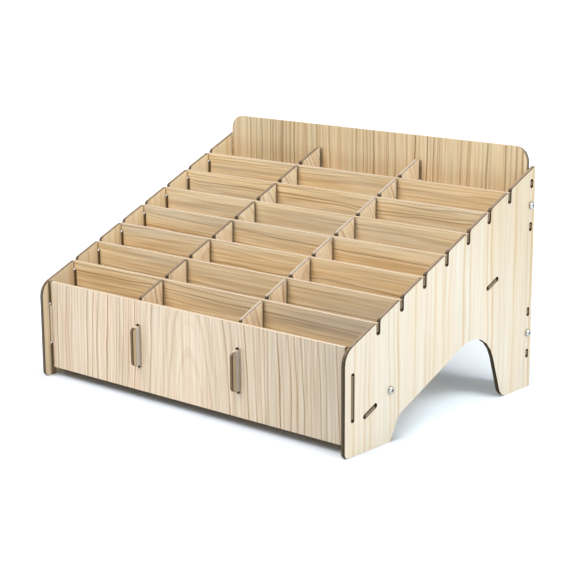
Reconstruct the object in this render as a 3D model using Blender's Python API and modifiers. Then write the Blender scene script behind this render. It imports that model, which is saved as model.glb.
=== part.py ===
"""Sloped phone organizer made of flat, laser-cut boards.

Two side panels carry a front, a back and a sloping bottom panel. Two
lengthwise dividers run from front to back, and seven cross dividers drop
into open notches from above, which gives eight rows of three bays.
Screws with captive nuts pull the side panels together.

Metres, +Z up, +X to the right side panel, +Y to the back panel. The origin
is on the floor, under the middle of the object. In the outlines below, "run"
is the distance from the front edges of the side panels towards the back.
"""
import bmesh
import bpy
from math import atan, cos, pi, radians, sin, tan
from mathutils import Matrix, Vector

# Overall sizes
overall_width = 0.330
overall_depth = 0.240
slope_front_height = 0.0784
slope_rear_height = 0.1834

# Boards and fits
board_thickness = 0.0035
slot_clearance = 0.0003
rest_gap = 0.0003
tab_end_inset = 0.0002
edge_corner_radius = 0.0008

# Side panels
side_front_corner_radius = 0.014
foot_corner_radius = 0.004
front_foot_length = 0.053
front_foot_lean_degrees = 62.4
foot_knee_height = 0.0183
foot_knee_radius = 0.010
arch_peak_radius = 0.031
rear_foot_length = 0.0418
rear_foot_lean_degrees = 71.0
rear_foot_toe_radius = 0.0115

# Open notches for the cross dividers
notch_first_run = 0.03745
notch_last_inset = 0.03665
notch_count = 7
notch_depth = 0.0100
notch_rear_play = 0.0007
notch_lead_in_radius = 0.0035
notch_end_share = 0.46

# Front panel
front_inset = 0.0070
front_panel_bottom = 0.0073
front_shoulder_gap = 0.0025

# Back panel
back_panel_rise = 0.0151
back_rear_margin = 0.0035
back_shoulder_gap = 0.0006
back_corner_radius = 0.012
back_foot_width = 0.024
back_arch_height = 0.042
back_arch_radius = 0.020
back_tab_length = 0.0030
back_tab_offset = 0.0175
back_end_tab_inset = 0.0290

# Bottom panel, parallel to the sloping top edges of the side panels
bottom_panel_drop = 0.0614
bottom_tab_length = 0.0116
bottom_slot_end_room = 0.0009
bottom_front_tab_run = 0.0289
bottom_rear_tab_inset = 0.0575
bottom_screw_run = 0.0527

# Lengthwise dividers, and the long tabs of these and of the front panel
lengthwise_rear_gap = 0.0028
lengthwise_corner_radius = 0.0020
long_tab_head_drop = 0.0220
long_tab_foot_rise = 0.0051
long_slot_end_room = 0.0006
fin_front_margin = 0.0002
fin_corner_radius = 0.0038
lap_depth = 0.0280
lap_notch_clearance = 0.0010
lap_lead_in_radius = 0.0022

# Cross dividers
ear_foot_gap = 0.0023
cross_shoulder_gap = 0.0027

# Screws and captive nuts
screw_shank_radius = 0.0015
screw_length = 0.0120
screw_tip_chamfer = 0.0004
screw_head_radius = 0.0031
screw_head_height = 0.0020
screw_head_rim = 0.0006
recess_length = 0.0036
recess_width = 0.0009
recess_depth = 0.0011
screw_hole_clearance = 0.0002
nut_across_flats = 0.0055
nut_thickness = 0.0024
nut_setback = 0.0049
nut_clearance = 0.0002
screw_end_room = 0.0008

# Smoothness of the round stretches
quarter_steps = 6
round_steps = 32
sharp_angle_degrees = 35
weld_distance = 0.00001

# Sizes worked out from the ones above
half_width = overall_width / 2
half_board = board_thickness / 2
inner_half_width = half_width - board_thickness
tab_end = half_width - tab_end_inset
slot_width = board_thickness + 2 * slot_clearance
slope_ratio = (slope_rear_height - slope_front_height) / overall_depth
slope_angle = atan(slope_ratio)
sloped_half_board = half_board / cos(slope_angle)
notch_pitch = (overall_depth - notch_last_inset - notch_first_run) / (notch_count - 1)
notch_runs = [notch_first_run + index * notch_pitch for index in range(notch_count)]
front_rear_face = front_inset + board_thickness
back_rear_face = overall_depth - back_rear_margin
back_front_face = back_rear_face - board_thickness
back_middle_run = back_rear_face - half_board
front_middle_run = front_inset + half_board
back_panel_height = slope_rear_height + back_panel_rise
bottom_rear_tab_run = overall_depth - bottom_rear_tab_inset
bay_width = (2 * inner_half_width - 2 * board_thickness) / 3
lengthwise_place = (bay_width + board_thickness) / 2
lengthwise_front_edge = front_rear_face + rest_gap
lengthwise_rear_edge = back_front_face - lengthwise_rear_gap
divider_foot_drop = bottom_panel_drop - sloped_half_board - rest_gap
long_tab_foot_drop = divider_foot_drop - long_tab_foot_rise
long_tab_length = long_tab_foot_drop - long_tab_head_drop
long_tab_drop = (long_tab_foot_drop + long_tab_head_drop) / 2
cross_top_drop = slope_ratio * slot_width / 2
cross_height = divider_foot_drop - cross_top_drop - slope_ratio * half_board
ear_height = notch_depth - cross_top_drop - ear_foot_gap
screw_hole_radius = screw_shank_radius + screw_hole_clearance


def slope_height(run):
    """Height of the sloping top edge at a distance from the front."""
    return slope_front_height + slope_ratio * run


def bottom_height(run):
    """Height of the middle of the bottom panel's board."""
    return slope_height(run) - bottom_panel_drop


front_panel_top = slope_height(front_inset) - rest_gap
front_tab_height = slope_height(front_middle_run) - long_tab_drop
rear_tab_height = slope_height(back_middle_run) - long_tab_drop


# Outlines: lists of (across, up, corner radius), turned into plain points

def fillet(before, corner, after, radius):
    """Points of the arc that rounds one corner of an outline."""
    towards_before = (before - corner).normalized()
    towards_after = (after - corner).normalized()
    half_angle = towards_before.angle(towards_after) / 2
    tangent = radius / tan(half_angle)
    middle = (towards_before + towards_after).normalized()
    centre = corner + middle * (radius / sin(half_angle))
    start = corner + towards_before * tangent - centre
    sweep = pi - 2 * half_angle
    turn = 1 if towards_before.cross(towards_after) < 0 else -1
    steps = max(1, round(2 * quarter_steps * sweep / pi))
    points = []
    for step in range(steps + 1):
        angle = -turn * sweep * step / steps
        points.append(centre + Matrix.Rotation(-angle, 2) @ start)
    return points


def rounded_outline(corners):
    """Closed outline with each corner rounded by its own radius."""
    points = []
    for index, (across, up, radius) in enumerate(corners):
        corner = Vector((across, up))
        before = Vector(corners[index - 1][:2])
        after = Vector(corners[(index + 1) % len(corners)][:2])
        if radius > 0:
            points += fillet(before, corner, after, radius)
        else:
            points.append(corner)
    return points


def stadium(centre, straight_length, width, angle):
    """Slot with round ends, turned by an angle from level."""
    half_straight = straight_length / 2
    end_radius = width / 2
    spin = Matrix.Rotation(angle, 2)
    points = []
    for end in (1, -1):
        for step in range(2 * quarter_steps + 1):
            around = pi * step / (2 * quarter_steps) - pi / 2
            local = Vector((half_straight + end_radius * cos(around), end_radius * sin(around)))
            points.append(Vector(centre) + spin @ (end * local))
    return points


def circle(centre, radius, steps):
    """Round hole, or a hexagon where six steps are asked for."""
    turns = [2 * pi * step / steps for step in range(steps)]
    return [Vector(centre) + Vector((radius * cos(turn), radius * sin(turn))) for turn in turns]


def tab_corners(body_edge, place, tab_length):
    """Rectangular tab that stands out of a board's right edge."""
    half_tab = tab_length / 2
    return [(body_edge, place - half_tab, 0), (tab_end, place - half_tab, 0),
            (tab_end, place + half_tab, 0), (body_edge, place + half_tab, 0)]


def nut_slot_corners(body_edge, place):
    """Slot for a screw, with the cross pocket that holds its nut."""
    pocket_outer = inner_half_width - nut_setback + nut_clearance
    pocket_inner = inner_half_width - nut_setback - nut_thickness - nut_clearance
    slot_end = half_width - screw_length - screw_end_room
    half_pocket = nut_across_flats / 2 + nut_clearance
    below = [(body_edge, place - screw_hole_radius, 0),
             (pocket_outer, place - screw_hole_radius, 0),
             (pocket_outer, place - half_pocket, 0),
             (pocket_inner, place - half_pocket, 0),
             (pocket_inner, place - screw_hole_radius, 0),
             (slot_end, place - screw_hole_radius, 0)]
    above = [(across, 2 * place - up, radius) for across, up, radius in reversed(below)]
    return below + above


def mirrored(corners):
    """The same stretch of outline on the left, in the order that closes the loop."""
    return [(-across, up, radius) for across, up, radius in reversed(corners)]


# Boards: flat curves, filled on both faces and extruded to the board's thickness

def board_data(name, outlines, thickness):
    """Curve data of one flat board with its outer outline and its openings."""
    data = bpy.data.curves.new(name, "CURVE")
    data.dimensions = "2D"
    data.fill_mode = "BOTH"
    data.extrude = thickness / 2
    for outline in outlines:
        spline = data.splines.new("POLY")
        spline.points.add(len(outline) - 1)
        for point, place in zip(spline.points, outline):
            point.co = (place.x, place.y, 0, 1)
        spline.use_cyclic_u = True
    return data


def finish_material(name, colour, roughness, metallic):
    """Plain material with the piece's own colour."""
    material = bpy.data.materials.new(name)
    material.use_nodes = True
    shader = material.node_tree.nodes["Principled BSDF"]
    shader.inputs["Base Color"].default_value = (*colour, 1)
    shader.inputs["Roughness"].default_value = roughness
    shader.inputs["Metallic"].default_value = metallic
    return material


def place_piece(name, data, location, turn, look):
    """Named object of one piece, in the object's collection."""
    piece = bpy.data.objects.new(name, data)
    piece.location = location
    piece.rotation_euler = turn
    organizer.objects.link(piece)
    if not data.materials:
        data.materials.append(None)
    slot = piece.material_slots[0]
    slot.link = "OBJECT"
    slot.material = finish_material(name + "_finish", *look)
    return piece


def run_to_world(run):
    """World Y of a distance from the front edges."""
    return run - overall_depth / 2


# Each look is a colour, a roughness and a metallic value
pale_look = ((0.82, 0.70, 0.52), 0.55, 0)
tan_look = ((0.68, 0.52, 0.32), 0.60, 0)
metal_look = ((0.72, 0.72, 0.73), 0.25, 1)

# Turns that stand a flat outline up, seen from the front or from the side
stand_across = (pi / 2, 0, 0)
stand_along = (pi / 2, 0, pi / 2)


def side_panel_corners():
    """Outer outline of a side panel: feet, arch, and the notched slope."""
    rear_foot_run = overall_depth - rear_foot_length
    rear_lean = tan(radians(rear_foot_lean_degrees))
    knee_run = front_foot_length + foot_knee_height / tan(radians(front_foot_lean_degrees))
    arch_line_start = foot_knee_height - slope_ratio * knee_run
    peak_run = (rear_foot_run * rear_lean - arch_line_start) / (rear_lean + slope_ratio)
    peak_height = arch_line_start + slope_ratio * peak_run
    corners = [(0, 0, foot_corner_radius),
               (front_foot_length, 0, foot_corner_radius / 2),
               (knee_run, foot_knee_height, foot_knee_radius),
               (peak_run, peak_height, arch_peak_radius),
               (rear_foot_run, 0, rear_foot_toe_radius),
               (overall_depth, 0, foot_corner_radius / 2),
               (overall_depth, slope_rear_height, edge_corner_radius)]
    half_slot = slot_width / 2
    end_radius = (slot_width + notch_rear_play) * notch_end_share
    for run in reversed(notch_runs):
        floor = slope_height(run) - notch_depth
        notch_front = run - half_slot
        notch_rear = run + half_slot + notch_rear_play
        corners += [(notch_rear, slope_height(notch_rear), notch_lead_in_radius),
                    (notch_rear, floor, end_radius),
                    (notch_front, floor, end_radius),
                    (notch_front, slope_height(notch_front), 0)]
    corners.append((0, slope_front_height, side_front_corner_radius))
    return corners


def back_screw_heights():
    """Heights of the two screws on each edge of the back panel."""
    lower = back_end_tab_inset + back_tab_offset
    return [lower, back_panel_height - lower]


def back_tab_heights():
    """Heights of the four tabs on each edge, one below and one above each screw."""
    offsets = (-back_tab_offset, back_tab_offset)
    return [height + offset for height in back_screw_heights() for offset in offsets]


def side_panel_openings():
    """Slots for the tabs and round holes for the screws in a side panel."""
    long_slot = long_tab_length + 2 * long_slot_end_room
    bottom_slot = bottom_tab_length + 2 * bottom_slot_end_room
    back_slot = back_tab_length + 2 * slot_clearance
    openings = [stadium((front_middle_run, front_tab_height), long_slot, slot_width, pi / 2)]
    for run in (bottom_front_tab_run, bottom_rear_tab_run):
        openings.append(stadium((run, bottom_height(run)), bottom_slot, slot_width, slope_angle))
    for height in back_tab_heights():
        openings.append(stadium((back_middle_run, height), back_slot, slot_width, pi / 2))
    screw_places = [(back_middle_run, height) for height in back_screw_heights()]
    screw_places.append((bottom_screw_run, bottom_height(bottom_screw_run)))
    for place in screw_places:
        openings.append(circle(place, screw_hole_radius, round_steps))
    return openings


def make_side_panels():
    """Left and right side panels, which share one outline."""
    outlines = [rounded_outline(side_panel_corners())] + side_panel_openings()
    data = board_data("side_panel_outline", outlines, board_thickness)
    middle = half_width - half_board
    for name, side in (("left_side_panel", -1), ("right_side_panel", 1)):
        place_piece(name, data, (side * middle, run_to_world(0), 0), stand_along, pale_look)


def make_front_panel():
    """Front panel with one long tab at each end and two slots for the fins."""
    edge = inner_half_width - front_shoulder_gap
    right = [(edge, front_panel_bottom, edge_corner_radius)]
    right += tab_corners(edge, front_tab_height, long_tab_length)
    right.append((edge, front_panel_top, edge_corner_radius))
    outlines = [rounded_outline(right + mirrored(right))]
    straight = long_tab_length + 2 * slot_clearance
    for side in (-1, 1):
        place = (side * lengthwise_place, front_tab_height)
        outlines.append(stadium(place, straight, slot_width, pi / 2))
    data = board_data("front_panel_outline", outlines, board_thickness)
    location = (0, run_to_world(front_middle_run), 0)
    place_piece("front_panel", data, location, stand_across, pale_look)


def make_back_panel():
    """Back panel on two feet, with its tabs, nut slots and divider slots."""
    edge = inner_half_width - back_shoulder_gap
    foot_edge = edge - back_foot_width
    right = [(foot_edge, back_arch_height, back_arch_radius),
             (foot_edge, 0, foot_corner_radius),
             (edge, 0, edge_corner_radius)]
    tabs = back_tab_heights()
    for index, screw_height in enumerate(back_screw_heights()):
        right += tab_corners(edge, tabs[2 * index], back_tab_length)
        right += nut_slot_corners(edge, screw_height)
        right += tab_corners(edge, tabs[2 * index + 1], back_tab_length)
    right.append((edge, back_panel_height, back_corner_radius))
    outlines = [rounded_outline(right + mirrored(right))]
    straight = long_tab_length + 2 * slot_clearance
    for side in (-1, 1):
        place = (side * lengthwise_place, rear_tab_height)
        outlines.append(stadium(place, straight, slot_width, pi / 2))
    data = board_data("back_panel_outline", outlines, board_thickness)
    location = (0, run_to_world(back_middle_run), 0)
    place_piece("back_panel", data, location, stand_across, tan_look)


def make_bottom_panel():
    """Sloping bottom panel; its outline is measured along the slope."""
    lean = half_board * sin(slope_angle)
    front_end = (front_rear_face + rest_gap + lean) / cos(slope_angle)
    rear_end = (back_front_face - rest_gap - lean) / cos(slope_angle)
    edge = inner_half_width - rest_gap
    right = [(edge, front_end, edge_corner_radius)]
    right += tab_corners(edge, bottom_front_tab_run / cos(slope_angle), bottom_tab_length)
    right += nut_slot_corners(edge, bottom_screw_run / cos(slope_angle))
    right += tab_corners(edge, bottom_rear_tab_run / cos(slope_angle), bottom_tab_length)
    right.append((edge, rear_end, edge_corner_radius))
    outlines = [rounded_outline(right + mirrored(right))]
    data = board_data("bottom_panel_outline", outlines, board_thickness)
    location = (0, run_to_world(0), bottom_height(0))
    place_piece("bottom_panel", data, location, (slope_angle, 0, 0), tan_look)


def lengthwise_divider_corners():
    """Outline of a lengthwise divider: end tabs and the notched slope."""
    front, rear = lengthwise_front_edge, lengthwise_rear_edge
    half_tab = long_tab_length / 2
    corners = [(front, slope_height(front) - divider_foot_drop, 0),
               (rear, slope_height(rear) - divider_foot_drop, 0),
               (rear, rear_tab_height - half_tab, 0),
               (back_rear_face, rear_tab_height - half_tab, edge_corner_radius),
               (back_rear_face, rear_tab_height + half_tab, edge_corner_radius),
               (rear, rear_tab_height + half_tab, 0),
               (rear, slope_height(rear), edge_corner_radius)]
    half_notch = half_board + lap_notch_clearance
    for run in reversed(notch_runs):
        floor = slope_height(run) - lap_depth
        corners += [(run + half_notch, slope_height(run + half_notch), lap_lead_in_radius),
                    (run + half_notch, floor, 0),
                    (run - half_notch, floor, 0),
                    (run - half_notch, slope_height(run - half_notch), 0)]
    corners += [(front, slope_height(front), lengthwise_corner_radius),
                (front, front_tab_height + half_tab, 0),
                (fin_front_margin, front_tab_height + half_tab, fin_corner_radius),
                (fin_front_margin, front_tab_height - half_tab, fin_corner_radius),
                (front, front_tab_height - half_tab, 0)]
    return corners


def make_lengthwise_dividers():
    """Two dividers from the front panel to the back panel."""
    outlines = [rounded_outline(lengthwise_divider_corners())]
    data = board_data("lengthwise_divider_outline", outlines, board_thickness)
    for name, side in (("left_lengthwise_divider", -1), ("right_lengthwise_divider", 1)):
        location = (side * lengthwise_place, run_to_world(0), 0)
        place_piece(name, data, location, stand_along, tan_look)


def cross_divider_corners():
    """Outline of a cross divider, measured down from its top edge."""
    body_edge = inner_half_width - cross_shoulder_gap
    lap_top = cross_top_drop - lap_depth + rest_gap
    half_slot = slot_width / 2
    slot_right = lengthwise_place + half_slot
    slot_left = lengthwise_place - half_slot
    right = [(slot_left, lap_top, 0),
             (slot_right, lap_top, 0),
             (slot_right, -cross_height, 0),
             (body_edge, -cross_height, edge_corner_radius),
             (body_edge, -ear_height, 0),
             (tab_end, -ear_height, 0),
             (tab_end, 0, 0)]
    return [(slot_left, -cross_height, 0)] + right + mirrored(right) + [(-slot_left, -cross_height, 0)]


def make_cross_dividers():
    """Seven like dividers, each dropped into its row of notches."""
    outlines = [rounded_outline(cross_divider_corners())]
    data = board_data("cross_divider_outline", outlines, board_thickness)
    for index, run in enumerate(notch_runs):
        location = (0, run_to_world(run), slope_height(run) - cross_top_drop)
        name = "cross_divider_" + str(index + 1)
        place_piece(name, data, location, stand_across, tan_look)


def screw_profile():
    """Half section of a pan-head screw, from the top of the head to the tip."""
    dome = screw_head_height - screw_head_rim
    points = []
    for step in range(quarter_steps + 1):
        angle = pi / 2 * step / quarter_steps
        points.append((screw_head_radius * sin(angle), screw_head_rim + dome * cos(angle)))
    points += [(screw_head_radius, 0), (screw_shank_radius, 0),
               (screw_shank_radius, screw_tip_chamfer - screw_length),
               (screw_shank_radius - screw_tip_chamfer, -screw_length), (0, -screw_length)]
    return points


def turned_object(name, profile):
    """Solid of revolution from a profile, as an object with a Screw modifier."""
    mesh = bpy.data.meshes.new(name)
    points = [(radius, 0, height) for radius, height in profile]
    edges = [(index, index + 1) for index in range(len(points) - 1)]
    mesh.from_pydata(points, edges, [])
    turned = bpy.data.objects.new(name, mesh)
    cutters.objects.link(turned)
    turning = turned.modifiers.new("turning", "SCREW")
    turning.steps = round_steps
    turning.render_steps = round_steps
    turning.use_merge_vertices = True
    turning.merge_threshold = weld_distance
    return turned


def evaluated_mesh(source, name):
    """Welded mesh of an object as its modifiers leave it."""
    bpy.context.view_layer.update()
    graph = bpy.context.evaluated_depsgraph_get()
    mesh = bpy.data.meshes.new_from_object(source.evaluated_get(graph))
    mesh.name = name
    shape = bmesh.new()
    shape.from_mesh(mesh)
    bmesh.ops.remove_doubles(shape, verts=shape.verts, dist=weld_distance)
    shape.to_mesh(mesh)
    shape.free()
    return mesh


def recess_cutter():
    """Cross-shaped cutter for the driver recess in a screw head."""
    long_half = recess_length / 2
    short_half = recess_width / 2
    corners = [(long_half, short_half), (short_half, short_half), (short_half, long_half)]
    points = []
    for quarter in range(4):
        spin = Matrix.Rotation(quarter * pi / 2, 2)
        points += [spin @ Vector(corner) for corner in corners]
    data = board_data("recess_outline", [points], 2 * recess_depth)
    flat = bpy.data.objects.new("recess_outline", data)
    flat.location.z = screw_head_height
    cutters.objects.link(flat)
    cutter = bpy.data.objects.new("recess_cutter", evaluated_mesh(flat, "recess_cutter"))
    cutter.matrix_world = flat.matrix_world
    cutters.objects.link(cutter)
    bpy.data.objects.remove(flat)
    cutter.hide_render = True
    cutter.display_type = "WIRE"
    return cutter


def screw_mesh():
    """Mesh that all the screws share."""
    turned = turned_object("screw_pattern", screw_profile())
    cutter = recess_cutter()
    recess = turned.modifiers.new("recess", "BOOLEAN")
    recess.operation = "DIFFERENCE"
    recess.solver = "EXACT"
    recess.object = cutter
    mesh = evaluated_mesh(turned, "screw_shape")
    mesh.shade_smooth()
    mesh.set_sharp_from_angle(angle=radians(sharp_angle_degrees))
    bpy.data.objects.remove(turned)
    bpy.data.objects.remove(cutter)
    return mesh


def nut_data():
    """Hexagonal nut with its bore, as a flat outline."""
    corner_radius = nut_across_flats / 2 / cos(pi / 6)
    bore_radius = screw_shank_radius + slot_clearance
    outlines = [circle((0, 0), corner_radius, 6), circle((0, 0), bore_radius, round_steps)]
    return board_data("nut_outline", outlines, nut_thickness)


def make_fasteners():
    """Three screws with captive nuts on each side panel."""
    shared_screw = screw_mesh()
    shared_nut = nut_data()
    lower, upper = back_screw_heights()
    bottom_place = (bottom_screw_run, bottom_height(bottom_screw_run), slope_angle)
    places = {"bottom": bottom_place,
              "back_lower": (back_middle_run, lower, pi / 2),
              "back_upper": (back_middle_run, upper, pi / 2)}
    nut_middle = inner_half_width - nut_setback - nut_thickness / 2
    for side_name, side in (("left", -1), ("right", 1)):
        for place_name, (run, height, board_angle) in places.items():
            across = side * (half_width + rest_gap)
            turn = (board_angle, side * pi / 2, 0)
            screw_name = "_".join((side_name, place_name, "screw"))
            nut_name = "_".join((side_name, place_name, "nut"))
            there = (run_to_world(run), height)
            screw = place_piece(screw_name, shared_screw, (across, *there), turn, metal_look)
            nut = place_piece(nut_name, shared_nut, (side * nut_middle, *there), turn, metal_look)
            screw.rotation_mode = "ZYX"
            nut.rotation_mode = "ZYX"


for leftover in list(bpy.data.objects):
    bpy.data.objects.remove(leftover)

organizer = bpy.data.collections.new("phone_organizer")
cutters = bpy.data.collections.new("cutters")
bpy.context.scene.collection.children.link(organizer)
bpy.context.scene.collection.children.link(cutters)

make_side_panels()
make_front_panel()
make_back_panel()
make_bottom_panel()
make_lengthwise_dividers()
make_cross_dividers()
make_fasteners()
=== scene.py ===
from math import cos, radians, sin

import bpy
from mathutils import Matrix, Vector

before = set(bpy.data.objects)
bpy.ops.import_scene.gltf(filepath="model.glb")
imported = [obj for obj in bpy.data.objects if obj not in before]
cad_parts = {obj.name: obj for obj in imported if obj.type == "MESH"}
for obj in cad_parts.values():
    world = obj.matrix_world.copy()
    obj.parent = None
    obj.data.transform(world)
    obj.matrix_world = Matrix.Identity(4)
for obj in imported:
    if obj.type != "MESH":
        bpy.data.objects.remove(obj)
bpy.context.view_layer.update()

# Front panel
# A flat board of thin fibreboard with a printed wood grain on both faces.
# It is laser-cut, which scorches the cut edges brown, and its tabs go through the side panels.

right, back, up = Vector((1, 0, 0)), Vector((0, 1, 0)), Vector((0, 0, 1))
board_thickness = 0.0035
grain_bump_distance = 0.00004
burnt_corner_width = 0.00025
burnt_corner_angle = radians(40)
# The soft rim of the burn marks and of the painted shade bands.
mark_and_shade_rim = 0.0006
white = (1.0, 1.0, 1.0)


def link(tree, value, socket):
    """Feed a socket from another node's output, or set it to a plain value."""
    if isinstance(value, bpy.types.NodeSocket):
        tree.links.new(value, socket)
    else:
        socket.default_value = value


def calculate(tree, operation, *values, clamp=False):
    """One arithmetic step on numbers or outputs."""
    node = tree.nodes.new("ShaderNodeMath")
    node.operation = operation
    node.use_clamp = clamp
    for value, socket in zip(values, node.inputs):
        link(tree, value, socket)
    return node.outputs[0]


def distance_along(tree, position, direction):
    """How far a point lies along a direction, in metres."""
    node = tree.nodes.new("ShaderNodeVectorMath")
    node.operation = "DOT_PRODUCT"
    link(tree, position, node.inputs[0])
    node.inputs[1].default_value = direction
    return node.outputs["Value"]


def fade(tree, distance, empty_at, full_at):
    """Zero at one distance and one at another, with an even slope between them."""
    slope = 1 / (full_at - empty_at)
    return calculate(tree, "MULTIPLY_ADD", distance, slope, -slope * empty_at, clamp=True)


def stretched_noise(tree, across, along, seed, per_metre_across, per_metre_along):
    """Noise that is drawn out along the grain, between 0 and 1."""
    place = tree.nodes.new("ShaderNodeCombineXYZ")
    link(tree, calculate(tree, "MULTIPLY", across, per_metre_across), place.inputs["X"])
    link(tree, calculate(tree, "MULTIPLY", along, per_metre_along), place.inputs["Y"])
    link(tree, seed, place.inputs["Z"])
    noise = tree.nodes.new("ShaderNodeTexNoise")
    noise.inputs["Scale"].default_value = 1
    noise.inputs["Detail"].default_value = 2
    link(tree, place.outputs[0], noise.inputs["Vector"])
    return noise.outputs["Fac"]


def colour_steps(tree, amount, steps):
    """Colour or grey read from a row of (place, colour) steps."""
    ramp = tree.nodes.new("ShaderNodeValToRGB")
    elements = ramp.color_ramp.elements
    while len(elements) < len(steps):
        elements.new(0.5)
    for element, (place, colour) in zip(elements, steps):
        element.position = place
        element.color = (*colour, 1) if isinstance(colour, tuple) else (colour, colour, colour, 1)
    link(tree, amount, ramp.inputs["Fac"])
    return ramp.outputs["Color"]


def blend_colours(tree, amount, first, second, way="MIX"):
    """Mix two colours or outputs."""
    mix = tree.nodes.new("ShaderNodeMix")
    mix.data_type = "RGBA"
    mix.blend_type = way
    link(tree, amount, mix.inputs["Factor"])
    for value, name in ((first, "A"), (second, "B")):
        socket = next(s for s in mix.inputs if s.name == name and s.type == "RGBA")
        link(tree, (*value, 1) if isinstance(value, tuple) else value, socket)
    return next(s for s in mix.outputs if s.type == "RGBA")


def stained_or_shaded(tree, printed, colour, amount, strength):
    """Lay a colour over the print where the amount says, for ring lines, stains and painted shade alike."""
    return blend_colours(tree, calculate(tree, "MULTIPLY", amount, strength), printed, colour)


def tone_along(tree, printed, position, direction, steps):
    """Paint shade over the print in steps along a direction, each one a place in metres and a colour."""
    first, last = steps[0][0], steps[-1][0]
    amount = fade(tree, distance_along(tree, position, direction), first, last)
    shares = [((place - first) / (last - first), colour) for place, colour in steps]
    return blend_colours(tree, 1.0, printed, colour_steps(tree, amount, shares), "MULTIPLY")


def ring_lines(tree, distance, gap, seed, profile, spread):
    """Growth rings at a distance from the heart, each with its own random strength."""
    crowding, waver, waver_per_metre = 1.1, 1.3, 55
    calm_within, full_from = 0.00875, 0.07125
    ring = calculate(tree, "POWER", calculate(tree, "DIVIDE", distance, gap), crowding)
    uneven = stretched_noise(tree, distance, 0, seed, waver_per_metre, 0)
    ring = calculate(tree, "MULTIPLY_ADD", uneven, waver, ring)
    chance = tree.nodes.new("ShaderNodeTexWhiteNoise")
    chance.noise_dimensions = "2D"
    pair = tree.nodes.new("ShaderNodeCombineXYZ")
    link(tree, calculate(tree, "FLOOR", ring), pair.inputs["X"])
    link(tree, seed, pair.inputs["Y"])
    link(tree, pair.outputs[0], chance.inputs["Vector"])
    strength = calculate(tree, "POWER", chance.outputs["Value"], spread)
    line = colour_steps(tree, calculate(tree, "FRACT", ring), profile)
    line = calculate(tree, "MULTIPLY", line, strength)
    return calculate(tree, "MULTIPLY", line, fade(tree, distance, calm_within, full_from))


def printed_grain():
    """Node group that draws growth rings as a saw meets them: arches near the heart, lines beside it."""
    tree = bpy.data.node_groups.new("printed_grain", "ShaderNodeTree")
    for name in ("across", "along", "seed", "heart_place", "heart_depth", "heart_lean", "ring_gap"):
        tree.interface.new_socket(name, in_out="INPUT", socket_type="NodeSocketFloat")
    for name in ("ring", "line", "fibre", "tint"):
        tree.interface.new_socket(name, in_out="OUTPUT", socket_type="NodeSocketFloat")
    given = tree.nodes.new("NodeGroupInput").outputs
    result = tree.nodes.new("NodeGroupOutput").inputs
    across, along, seed = given["across"], given["along"], given["seed"]

    wander_reach, ripple_reach, rise_reach = 0.010, 0.0022, 0.010
    wander = stretched_noise(tree, across, along, seed, per_metre_across=25, per_metre_along=8)
    ripple = stretched_noise(tree, across, along, seed, per_metre_across=150, per_metre_along=16)
    rise = stretched_noise(tree, 0, along, seed, per_metre_across=0, per_metre_along=12)
    sideways = calculate(tree, "SUBTRACT", across, given["heart_place"])
    sideways = calculate(tree, "MULTIPLY_ADD", wander, wander_reach, sideways)
    sideways = calculate(tree, "MULTIPLY_ADD", ripple, ripple_reach, sideways)
    depth = calculate(tree, "MULTIPLY_ADD", given["heart_lean"], along, given["heart_depth"])
    depth = calculate(tree, "MULTIPLY_ADD", rise, rise_reach, depth)
    sideways_squared = calculate(tree, "POWER", sideways, 2)
    squares = calculate(tree, "ADD", sideways_squared, calculate(tree, "POWER", depth, 2))
    distance = calculate(tree, "SQRT", squares)

    late_wood = [(0.0, 0.0), (0.62, 0.08), (0.84, 0.42), (0.92, 1.0), (0.97, 1.0), (1.0, 0.0)]
    rings = ring_lines(tree, distance, given["ring_gap"], seed, late_wood, spread=1.6)
    link(tree, rings, result["ring"])
    thin_line = [(0.0, 0.0), (0.50, 0.0), (0.72, 1.0), (0.90, 1.0), (1.0, 0.0)]
    thin_gap_share = 0.60
    thin_gap = calculate(tree, "MULTIPLY", given["ring_gap"], thin_gap_share)
    link(tree, ring_lines(tree, distance, thin_gap, seed, thin_line, spread=2.0), result["line"])

    fibre = stretched_noise(tree, across, along, seed, per_metre_across=520, per_metre_along=12)
    link(tree, fibre, result["fibre"])
    tint = stretched_noise(tree, across, along, seed, per_metre_across=60, per_metre_along=4)
    link(tree, tint, result["tint"])
    return tree


grain_group = printed_grain()


def band(tree, position, direction, middle, reach, shift=0):
    """One near a pair of lines, alike on both sides of a middle plane, and zero away from them."""
    place = calculate(tree, "SUBTRACT", distance_along(tree, position, direction), shift)
    away = calculate(tree, "SUBTRACT", calculate(tree, "ABSOLUTE", place), middle)
    away = calculate(tree, "ABSOLUTE", away)
    return calculate(tree, "DIVIDE", calculate(tree, "SUBTRACT", reach, away), mark_and_shade_rim, clamp=True)


def printed_face(tree, look, grain):
    """Laminate: a slowly changing tint under growth rings, thinner lines and fibres."""
    cool_at, light_at, warm_at = 0.36, 0.50, 0.64
    dark_fibre_at, clear_at = 0.30, 0.62
    tint = colour_steps(tree, grain.outputs["tint"],
                        [(cool_at, look["cool"]), (light_at, look["light"]), (warm_at, look["warm"])])
    printed = stained_or_shaded(tree, tint, look["ring"], grain.outputs["ring"], look["ring_strength"])
    printed = stained_or_shaded(tree, printed, look["ring"], grain.outputs["line"], look["line_strength"])
    fibre = colour_steps(tree, grain.outputs["fibre"],
                         [(dark_fibre_at, look["fibre_dark"]), (clear_at, white)])
    return blend_colours(tree, 1.0, printed, fibre, "MULTIPLY")


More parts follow.
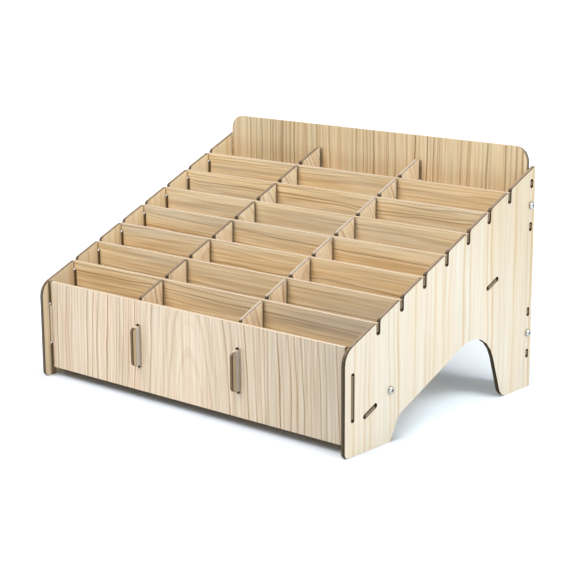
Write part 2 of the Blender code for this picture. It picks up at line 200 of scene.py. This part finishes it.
def smoke_on_cut(tree, look, position, face, middle):
    """Grey that darkens one half of a cut, up to a ragged line, where the beam's smoke came out."""
    soot_per_metre, raggedness, shift = 260, 0.4, 0.3
    clear_until, smoked_from = 0.45, 0.70
    depth = calculate(tree, "SUBTRACT", distance_along(tree, position, face), middle)
    depth = calculate(tree, "ADD", calculate(tree, "DIVIDE", depth, board_thickness), shift)
    soot = tree.nodes.new("ShaderNodeTexNoise")
    soot.inputs["Scale"].default_value = soot_per_metre
    soot.inputs["Detail"].default_value = 4
    link(tree, position, soot.inputs["Vector"])
    depth = calculate(tree, "MULTIPLY_ADD", soot.outputs["Fac"], raggedness, depth)
    return colour_steps(tree, depth, [(clear_until, 1.0), (smoked_from, look["smoke"])])


def scorched_cut(tree, look, position, normal, face, middle, cut_recolour):
    """Burnt edge, coloured by the way it faces, which paints in light and shade: dark where it looks
    forward, lighter where it looks sideways, and paler where it looks up as a painted reflection of the
    bright surroundings, with less smoke there; smoke darkens one half.
    """
    front_until, slope_at, level_from = 0.30, 0.90, 0.985
    end_limit, smoke_on_top = 0.7, 0.5
    rising = distance_along(tree, normal, up)
    cut = colour_steps(tree, rising, [(front_until, look["edge_front"]), (slope_at, look["edge_slope"]),
                                      (level_from, look["edge_top"])])
    sideways = calculate(tree, "ABSOLUTE", distance_along(tree, normal, right))
    cut = blend_colours(tree, calculate(tree, "GREATER_THAN", sideways, end_limit), cut, look["edge_end"])
    smoke = smoke_on_cut(tree, look, position, face, middle)
    smoked = colour_steps(tree, rising, [(slope_at, 1.0), (level_from, smoke_on_top)])
    cut = blend_colours(tree, smoked, cut, smoke, "MULTIPLY")
    return cut_recolour(tree, position, rising, cut) if cut_recolour else cut


def board_material(name, look, across, along, face, middle, heart, seed, marks_and_shade=None, cut_recolour=None):
    """Printed laminate on a board's two faces, with marks and painted shade laid over it, and a scorched
    cut round its edges.
    """
    face_limit, corner_limit, corner_strength = 0.9, 0.3, 0.55
    face_roughness, fibre_roughness, cut_roughness = 0.40, 0.15, 0.85
    face_sheen, cut_sheen = 0.50, 0.15
    material = bpy.data.materials.new(name)
    material.use_nodes = True
    tree = material.node_tree
    shader = tree.nodes["Principled BSDF"]
    coordinates = tree.nodes.new("ShaderNodeTexCoord")
    position, normal = coordinates.outputs["Object"], coordinates.outputs["Normal"]

    grain = tree.nodes.new("ShaderNodeGroup")
    grain.node_tree = grain_group
    link(tree, distance_along(tree, position, across), grain.inputs["across"])
    link(tree, distance_along(tree, position, along), grain.inputs["along"])
    link(tree, seed, grain.inputs["seed"])
    for part, value in heart.items():
        link(tree, value, grain.inputs[part])

    printed = printed_face(tree, look, grain)
    if marks_and_shade:
        printed = marks_and_shade(tree, position, normal, printed)
    facing = calculate(tree, "ABSOLUTE", distance_along(tree, normal, face))
    on_face = calculate(tree, "GREATER_THAN", facing, face_limit)
    on_corner = calculate(tree, "GREATER_THAN", facing, corner_limit)
    cut = scorched_cut(tree, look, position, normal, face, middle, cut_recolour)
    corner = blend_colours(tree, corner_strength, cut, look["corner"])
    scorched = blend_colours(tree, on_corner, cut, corner)
    link(tree, blend_colours(tree, on_face, scorched, printed), shader.inputs["Base Color"])

    rough = calculate(tree, "MULTIPLY_ADD", grain.outputs["fibre"], fibre_roughness, face_roughness)
    rough = blend_colours(tree, on_face, (cut_roughness, cut_roughness, cut_roughness), rough)
    link(tree, rough, shader.inputs["Roughness"])
    sheen = calculate(tree, "MULTIPLY_ADD", on_face, face_sheen - cut_sheen, cut_sheen)
    link(tree, sheen, shader.inputs["Specular IOR Level"])
    bump = tree.nodes.new("ShaderNodeBump")
    bump.inputs["Strength"].default_value = 0.3
    bump.inputs["Distance"].default_value = grain_bump_distance
    link(tree, calculate(tree, "MULTIPLY", grain.outputs["fibre"], on_face), bump.inputs["Height"])
    link(tree, bump.outputs["Normal"], shader.inputs["Normal"])
    return material


def finish(name, material):
    """Give a node of the frame its material."""
    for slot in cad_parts[name].material_slots:
        slot.material = material


def break_corners(name):
    """Take the sharp corner off all cuts of a board, where the beam has burnt it away."""
    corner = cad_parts[name].modifiers.new("burnt_corner", "BEVEL")
    corner.width = burnt_corner_width
    corner.segments = 1
    corner.limit_method = "ANGLE"
    corner.angle_limit = burnt_corner_angle
    corner.harden_normals = True


# The cut colours by facing paint light and shade; edge_top is paler as a painted reflection on the cuts
# that face up.
pale_board = {"light": (0.89, 0.74, 0.565), "warm": (0.90, 0.71, 0.535), "cool": (0.86, 0.73, 0.565),
              "ring": (0.47, 0.29, 0.13), "ring_strength": 0.80, "line_strength": 1.0,
              "fibre_dark": (0.82, 0.74, 0.65), "edge_front": (0.10, 0.075, 0.045),
              "edge_slope": (0.42, 0.30, 0.20), "edge_top": (0.80, 0.64, 0.47),
              "edge_end": (0.24, 0.18, 0.11), "smoke": 0.45, "corner": (0.05, 0.035, 0.015)}
# This brown is laid both as burn marks and as painted shadow and contact shade beside and behind parts.
scorch_and_shade = (0.15, 0.095, 0.03)
divider_place = 0.05442
slot_middle_height, slot_half_height = 0.0442, 0.0184
# Where the painted shadow of each fin falls beside its slot.
fin_shadow_offset, fin_shadow_reach = 0.0029, 0.0010


def painted_fin_shadows_and_end_shade(tree, position, normal, printed):
    """Painted shadow of each fin: a brown line at the right of the two slots, and painted shade that greys
    the two ends, the right end most.
    """
    beside = band(tree, position, right, divider_place, fin_shadow_reach, shift=fin_shadow_offset)
    level = band(tree, position, up, 0, slot_half_height, shift=slot_middle_height)
    printed = stained_or_shaded(tree, printed, scorch_and_shade, calculate(tree, "MULTIPLY", beside, level), strength=0.55)
    # Painted shade that greys both ends, the right end most.
    return tone_along(tree, printed, position, right, [(-0.15, (0.94, 0.94, 0.94)), (-0.0933, white),
                                                       (0.0067, white), (0.14, (0.77, 0.79, 0.80))])


front_middle = -0.11125
front_heart = dict(heart_place=0.008, heart_depth=0.0045, heart_lean=0.18, ring_gap=0.0085)
finish("front_panel", board_material("front_board", pale_board, right, up, back, front_middle,
                                     front_heart, seed=3.1, marks_and_shade=painted_fin_shadows_and_end_shade))
break_corners("front_panel")

# Back panel
# The tallest board, on two feet of its own. Screws and tabs hold it between the side panels.
# It carries the two lengthwise dividers in slots, and its print is a deeper tan.

tan_board = dict(pale_board, light=(0.98, 0.80, 0.53), warm=(0.98, 0.77, 0.50), cool=(0.92, 0.77, 0.51),
                 ring=(0.36, 0.20, 0.08), ring_strength=0.92, line_strength=1.0,
                 fibre_dark=(0.82, 0.72, 0.60))
# The painted shadow of each lengthwise divider on the back panel.
shadow_stripe_reach, shadow_stripe_top = 0.0032, 0.178


def painted_shade_behind_dividers(tree, position, normal, printed):
    """A painted shadow in a brown band on the inner face behind the rear end of each lengthwise divider,
    and painted shade that deepens the top and the left half.
    """
    shadow_stripe = band(tree, position, right, divider_place, shadow_stripe_reach)
    shadow_stripe = calculate(tree, "MULTIPLY", shadow_stripe, band(tree, position, up, 0, shadow_stripe_top))
    forwards = calculate(tree, "LESS_THAN", distance_along(tree, normal, back), 0)
    printed = stained_or_shaded(tree, printed, scorch_and_shade, calculate(tree, "MULTIPLY", shadow_stripe, forwards), strength=0.60)
    # Painted shade on the left half and towards the top.
    printed = tone_along(tree, printed, position, right, [(-0.1333, (0.88, 0.88, 0.86)), (0.1167, white)])
    return tone_along(tree, printed, position, up, [(0.156, white), (0.184, (0.90, 0.89, 0.86))])


back_middle = 0.11475
back_heart = dict(heart_place=0.45, heart_depth=0.05, heart_lean=0.02, ring_gap=0.0110)
finish("back_panel", board_material("back_board", tan_board, right, up, back, back_middle, back_heart,
                                    seed=8.7, marks_and_shade=painted_shade_behind_dividers))
break_corners("back_panel")

# Bottom panel
# A board that lies parallel to the slope, so that each row of phones stands higher than the last.
# Its tabs and two screws hold it between the side panels.

slope_ratio = 0.4375
slope = (back + slope_ratio * up).normalized()
slope_normal = right.cross(slope)
point_in_bottom = Vector((0, -0.12, 0.017))
bottom_heart = dict(heart_place=0.1, heart_depth=0.03, heart_lean=0.05, ring_gap=0.0100)
finish("bottom_panel", board_material("bottom_board", tan_board, slope, right, slope_normal,
                                      slope_normal.dot(point_in_bottom), bottom_heart, seed=14.2))
break_corners("bottom_panel")

# Lengthwise dividers
# Two boards from the front panel to the back panel, with notches for the cross dividers.
# They are cut with the grain square to the slope, so it leans in the finished object.

divider_board = dict(tan_board, light=(0.98, 0.88, 0.67), warm=(0.98, 0.86, 0.64), cool=(0.96, 0.87, 0.68),
                     ring=(0.38, 0.21, 0.08), ring_strength=0.55, line_strength=0.6,
                     fibre_dark=(0.92, 0.84, 0.74))
first_divider_middle, divider_pitch, divider_count = -0.08255, 0.02765, 7
# How far the burn marks and painted contact shade reach round each notch.
notch_scorch_and_shade_reach = 0.0046
fin_root, fin_line, fin_line_width = -0.113, -0.1172, 0.0004


def near_notches(tree, position, reach):
    """One near the seven notches for the cross dividers, and zero away from them."""
    run = distance_along(tree, position, back)
    place = calculate(tree, "DIVIDE", calculate(tree, "SUBTRACT", run, first_divider_middle), divider_pitch)
    nearest = calculate(tree, "MINIMUM", calculate(tree, "ROUND", place), divider_count - 1)
    nearest = calculate(tree, "MAXIMUM", nearest, 0)
    away = calculate(tree, "ABSOLUTE", calculate(tree, "SUBTRACT", place, nearest))
    away = calculate(tree, "MULTIPLY", away, divider_pitch)
    return calculate(tree, "DIVIDE", calculate(tree, "SUBTRACT", reach, away), 2 * mark_and_shade_rim, clamp=True)


def scorch_and_shade_round_notches(tree, position, normal, printed):
    """Brown rims at the notches, partly burn marks and partly painted contact shade, painted shade that
    deepens the faces towards the front, and greyer, lined fins there.
    """
    fin_grey, line_brown = (0.60, 0.54, 0.48), (0.30, 0.23, 0.15)
    tip_tan, right_fin_brown = (0.58, 0.44, 0.26), (0.22, 0.17, 0.12)
    # Painted shade that deepens the faces towards the front.
    printed = tone_along(tree, printed, position, back, [(-0.105, (0.97, 0.90, 0.86)), (0.025, white)])
    printed = stained_or_shaded(tree, printed, scorch_and_shade, near_notches(tree, position, notch_scorch_and_shade_reach), strength=0.9)
    run = distance_along(tree, position, back)
    for limit, colour in ((fin_root, fin_grey), (fin_line + fin_line_width, line_brown),
                          (fin_line, tip_tan)):
        printed = blend_colours(tree, calculate(tree, "LESS_THAN", run, limit), printed, colour)
    on_right = calculate(tree, "GREATER_THAN", distance_along(tree, position, right), 0)
    right_fin = calculate(tree, "MULTIPLY", calculate(tree, "LESS_THAN", run, fin_root), on_right)
    return stained_or_shaded(tree, printed, right_fin_brown, right_fin, strength=0.4)


def lighter_fin_ends(tree, position, rising, cut):
    """The front ends of the fins, which are coloured a lighter brown than the other cuts."""
    upright_limit, lighter = 0.5, (2.1, 1.8, 1.75)
    on_fin = calculate(tree, "LESS_THAN", distance_along(tree, position, back), fin_root)
    on_end = calculate(tree, "MULTIPLY", on_fin, calculate(tree, "LESS_THAN", rising, upright_limit))
    return blend_colours(tree, on_end, cut, lighter, "MULTIPLY")


divider_heart = dict(heart_place=0.02, heart_depth=0.08, heart_lean=0.1, ring_gap=0.0080)
left_look = dict(divider_board, edge_slope=(0.20, 0.13, 0.08))
right_look = dict(divider_board, edge_slope=(0.56, 0.45, 0.35), corner=(0.36, 0.28, 0.21),
                  ring_strength=0.7, fibre_dark=(0.85, 0.75, 0.65))
for name, side, seed, look in (("left_lengthwise_divider", -1, 21.4, left_look),
                               ("right_lengthwise_divider", 1, 25.9, right_look)):
    finish(name, board_material(name + "_board", look, slope, slope_normal, right, side * divider_place,
                                divider_heart, seed, marks_and_shade=scorch_and_shade_round_notches,
                                cut_recolour=lighter_fin_ends))
    break_corners(name)

# Side panels
# Two boards that carry the whole organizer on their feet, with the palest print.
# Laser-cut slots take the tabs of the other boards, and open notches take the cross dividers.

side_board = dict(pale_board, light=(0.73, 0.665, 0.55), warm=(0.74, 0.66, 0.52),
                  cool=(0.72, 0.665, 0.55), ring=(0.60, 0.44, 0.23), ring_strength=0.95,
                  line_strength=0.7, fibre_dark=(0.94, 0.89, 0.82), edge_slope=(0.28, 0.19, 0.12))
side_middle = 0.16325
# How far soot and painted contact shade reach from the joints on the inner faces.
soot_and_shade_reach = 0.0030
towards_top_rear = back + 0.8 * up
front_top = max(corner[2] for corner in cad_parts["front_panel"].bound_box)


def tan_inner_face(tree, position, normal, printed):
    """The two faces as lit and shaded copies of one print: the faces that look into the bays lighter and
    warmer, with painted shade towards the front and soot with painted contact shade where the other boards
    meet them, and painted shade towards the outer face's top rear.
    """
    outer_over_inner = (0.75, 0.80, 0.92)
    outwards = calculate(tree, "MULTIPLY", distance_along(tree, normal, right),
                         distance_along(tree, position, right))
    inwards = calculate(tree, "LESS_THAN", outwards, 0)
    # Painted shade on the outer face towards its top rear.
    outer = tone_along(tree, printed, position, towards_top_rear,
                       [(0.11, white), (0.21, (0.87, 0.82, 0.73))])
    # The inner faces are painted lighter and warmer than the outer one, for the light in the bays.
    inner = blend_colours(tree, 1.0, printed, outer_over_inner, "DIVIDE")
    # Painted shade towards the front of the inner faces.
    inner = tone_along(tree, inner, position, back, [(-0.12, (0.80, 0.78, 0.78)), (-0.025, white)])
    # Soot and painted contact shade where the front panel and the cross dividers meet the inner face.
    at_front = calculate(tree, "MULTIPLY", band(tree, position, back, 0, soot_and_shade_reach, shift=front_middle),
                         calculate(tree, "LESS_THAN", distance_along(tree, position, up), front_top))
    soot = calculate(tree, "MAXIMUM", near_notches(tree, position, soot_and_shade_reach), at_front)
    inner = stained_or_shaded(tree, inner, scorch_and_shade, soot, strength=0.85)
    return blend_colours(tree, inwards, outer, inner)


side_heart = dict(heart_place=0.45, heart_depth=0.10, heart_lean=0.02, ring_gap=0.0160)
for name, side, seed, edge in (("left_side_panel", -1, 31.5, (0.17, 0.13, 0.10)),
                               ("right_side_panel", 1, 36.2, (0.10, 0.075, 0.045))):
    finish(name, board_material(name + "_board", dict(side_board, edge_front=edge), back, up, right,
                                side * side_middle, side_heart, seed, marks_and_shade=tan_inner_face))
    break_corners(name)

# Screws and nuts
# Zinc-plated machine screws with domed heads and a cross recess, and plain hexagonal nuts.
# The screws go through the side panels into the nuts, which sit in pockets of the other boards.

bright_steel = bpy.data.materials.new("bright_steel")
bright_steel.use_nodes = True
steel_shader = bright_steel.node_tree.nodes["Principled BSDF"]
steel_shader.inputs["Metallic"].default_value = 1
steel_shader.inputs["Roughness"].default_value = 0.20
steel_shader.inputs["Base Color"].default_value = (0.45, 0.44, 0.42, 1)
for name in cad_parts:
    if name.endswith(("_screw", "_nut")):
        finish(name, bright_steel)

# Cross dividers
# Seven boards that drop into the notches from above and lift out again.
# Their grain runs along them, across the organizer.

# Its edge_top is the painted reflection on the cuts that face up.
row_board = dict(tan_board, light=(0.97, 0.77, 0.48), warm=(0.99, 0.75, 0.43), cool=(0.86, 0.72, 0.50),
                 line_strength=0.70, fibre_dark=(0.76, 0.68, 0.56), edge_top=(0.74, 0.58, 0.42))
# Grey towards the top of each face, also laid as painted shade towards the right end of the front rows.
top_grey_and_shade = (0.52, 0.42, 0.32)
plain_rings, more_rings_per_row, first_plain_row = 0.52, 0.09, 4
first_greyness, less_grey_per_row = 0.52, 0.08
# Painted shade towards the right end of the front rows grows by this much per row.
right_shade_per_row, first_even_row = 1.5, 3
heart_start, heart_step, lean_start, lean_step, leans = -0.25, 0.03, 0.05, 0.03, 4
seed_start, seed_step = 40, 3.7


def grey_top_and_right_shade(height, strength, right_shade):
    """A print that turns greyer towards a board's top edge, with painted shade that greys it more towards
    its right end in the front rows.
    """
    def shade(tree, position, normal, printed):
        loss_per_metre = 25
        below = calculate(tree, "SUBTRACT", height, distance_along(tree, position, up))
        amount = calculate(tree, "MULTIPLY_ADD", distance_along(tree, position, right), right_shade, strength)
        amount = calculate(tree, "MULTIPLY_ADD", below, -loss_per_metre, amount, clamp=True)
        return stained_or_shaded(tree, printed, top_grey_and_shade, amount, strength=0.8)
    return shade


for number in range(1, divider_count + 1):
    name = "cross_divider_" + str(number)
    middle = first_divider_middle + divider_pitch * (number - 1)
    height = max(corner[2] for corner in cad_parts[name].bound_box)
    row_heart = dict(heart_place=heart_start + heart_step * number, heart_depth=0.05,
                     heart_lean=lean_start - lean_step * (number % leans), ring_gap=0.0080)
    more_rings = more_rings_per_row * max(0, first_plain_row - number)
    look = dict(row_board, ring_strength=plain_rings + more_rings)
    greyer = grey_top_and_right_shade(height, strength=first_greyness - less_grey_per_row * number,
                      right_shade=right_shade_per_row * max(0, first_even_row - number))
    finish(name, board_material(name + "_board", look, up, right, back, middle, row_heart,
                                seed=seed_start + seed_step * number, marks_and_shade=greyer))
    break_corners(name)

# Floor and backdrop
# A plain white paper sweep that keeps the object's soft shadow.
# Its glow, which only the camera and mirrors see, clears the paper round the shadow to white and paints
# light into the shadow beneath and beside the organizer.

floor_half, floor_drop = 12.0, 0.0001
half_width = 0.165
clear_paper, shaded_paper = (0.84, 0.88, 0.93), (0.36, 0.31, 0.26)
floor_mesh = bpy.data.meshes.new("floor")
floor_mesh.from_pydata([(-floor_half, -floor_half, 0), (floor_half, -floor_half, 0),
                        (floor_half, floor_half, 0), (-floor_half, floor_half, 0)], [], [(0, 1, 2, 3)])
floor = bpy.data.objects.new("floor", floor_mesh)
floor.location.z = -floor_drop
bpy.context.scene.collection.objects.link(floor)


def seen_directly(tree):
    """One for what the camera sees straight, in a mirror or through glass, and zero for lighting."""
    path = tree.nodes.new("ShaderNodeLightPath")
    seen = calculate(tree, "ADD", path.outputs["Is Camera Ray"], path.outputs["Is Glossy Ray"], clamp=True)
    return calculate(tree, "ADD", seen, path.outputs["Is Transmission Ray"], clamp=True)


paper = bpy.data.materials.new("white_paper")
paper.use_nodes = True
tree = paper.node_tree
shader = tree.nodes["Principled BSDF"]
shader.inputs["Roughness"].default_value = 0.9
shader.inputs["Specular IOR Level"].default_value = 0.1
shader.inputs["Emission Color"].default_value = (0.74, 0.89, 1.0, 1)
place = tree.nodes.new("ShaderNodeTexCoord").outputs["Object"]
away = tree.nodes.new("ShaderNodeVectorMath")
away.operation = "LENGTH"
link(tree, place, away.inputs[0])
from_middle = calculate(tree, "ABSOLUTE", distance_along(tree, place, right))
depth = distance_along(tree, place, back)
underneath = calculate(tree, "LESS_THAN", from_middle, half_width)

far = fade(tree, away.outputs["Value"], empty_at=0.24, full_at=0.64)
behind = fade(tree, depth, empty_at=0.1, full_at=0.1303)
beneath = calculate(tree, "MULTIPLY", fade(tree, from_middle, empty_at=-0.025, full_at=0.1417),
                    fade(tree, depth, empty_at=-0.0929, full_at=-0.0214))
towards_front = fade(tree, depth, empty_at=0.025, full_at=-0.075)
shadow_half_width, spread_at_front = 0.1167, 0.0524
shadow_rim = calculate(tree, "MULTIPLY_ADD", towards_front, spread_at_front, shadow_half_width)
beside = fade(tree, calculate(tree, "SUBTRACT", from_middle, shadow_rim), empty_at=0, full_at=0.0238)
at_rear_feet = calculate(tree, "MULTIPLY", fade(tree, depth, empty_at=0.065, full_at=0.0817), underneath)
beside = calculate(tree, "SUBTRACT", beside, at_rear_feet, clamp=True)

# Painted shadow: the paper is coloured darker under the front panel.
under_front = calculate(tree, "MULTIPLY", fade(tree, depth, empty_at=-0.044, full_at=-0.084), underneath)
shade = calculate(tree, "MULTIPLY", fade(tree, depth, empty_at=-0.1075, full_at=-0.0908), under_front)
link(tree, blend_colours(tree, shade, clear_paper, shaded_paper), shader.inputs["Base Color"])
# Painted light: the glow lifts the shadow beneath the organizer, beside its feet and behind it, and clears
# the paper far away.
glow = 0.01
for amount, strength in ((beneath, 0.215), (beside, 0.29), (behind, 0.10), (far, 0.45)):
    glow = calculate(tree, "MULTIPLY_ADD", amount, strength, glow)
link(tree, calculate(tree, "MULTIPLY", seen_directly(tree), glow), shader.inputs["Emission Strength"])
floor_mesh.materials.append(paper)

# Light
# A white tent all round, and soft light from overhead.
# A key lamp stands in front on the left, a wider one on the right and a weak one at the right rear.

tent_strength, tent_colour = 0.34, (0.85, 0.93, 1.0)
world = bpy.data.worlds.new("light_tent")
bpy.context.scene.world = world
world.use_nodes = True
tree = world.node_tree
surroundings = tree.nodes["Background"]
seen = seen_directly(tree)
strength = calculate(tree, "MULTIPLY_ADD", seen, 1 - tent_strength, tent_strength)
link(tree, strength, surroundings.inputs["Strength"])
link(tree, blend_colours(tree, seen, tent_colour, white), surroundings.inputs["Color"])
lamp_aim = Vector((0, 0, 0.09))


def add_lamp(name, kind, place, power):
    """A lamp that points at the object's middle."""
    lamp_data = bpy.data.lights.new(name, kind)
    lamp_data.energy = power
    lamp = bpy.data.objects.new(name, lamp_data)
    lamp.location = place
    lamp.rotation_mode = "QUATERNION"
    lamp.rotation_quaternion = (lamp_aim - Vector(place)).to_track_quat("-Z", "Y")
    bpy.context.scene.collection.objects.link(lamp)
    return lamp_data


add_lamp("front_lamp", "AREA", place=(-0.5, -0.75, 1.3), power=8.5).size = 0.8
add_lamp("right_lamp", "AREA", place=(1.25, 0.02, 0.92), power=8.8).size = 1.0
add_lamp("rear_lamp", "AREA", place=(1.1, 0.55, 0.40), power=2.5).size = 0.5
add_lamp("overhead", "SUN", place=(0.1, -0.7, 2.0), power=1.6).angle = radians(70)

# Camera
# It stands at the right of the front, a little above the organizer.
# Its place and lens are solved from the straight edges of the boards in the photograph.

picture_width_px = 574
focal_length_px = 1610.7
azimuth, elevation, roll = radians(41.365), radians(13.41), radians(-0.307)
camera_place = (0.8571, -0.9676, 0.3885)
camera_data = bpy.data.cameras.new("camera")
camera_data.sensor_width = 36
camera_data.lens = camera_data.sensor_width * focal_length_px / picture_width_px
camera = bpy.data.objects.new("camera", camera_data)
towards_camera = Vector((sin(azimuth) * cos(elevation), -cos(azimuth) * cos(elevation), sin(elevation)))
camera_right = (-towards_camera).cross(up).normalized()
camera_up = towards_camera.cross(camera_right)
rolled_right = cos(roll) * camera_right + sin(roll) * camera_up
rolled_up = cos(roll) * camera_up - sin(roll) * camera_right
axes = Matrix((rolled_right, rolled_up, towards_camera)).transposed()
camera.matrix_world = Matrix.Translation(camera_place) @ axes.to_4x4()
bpy.context.scene.collection.objects.link(camera)
bpy.context.scene.camera = camera
bpy.context.scene.view_settings.view_transform = "Standard"
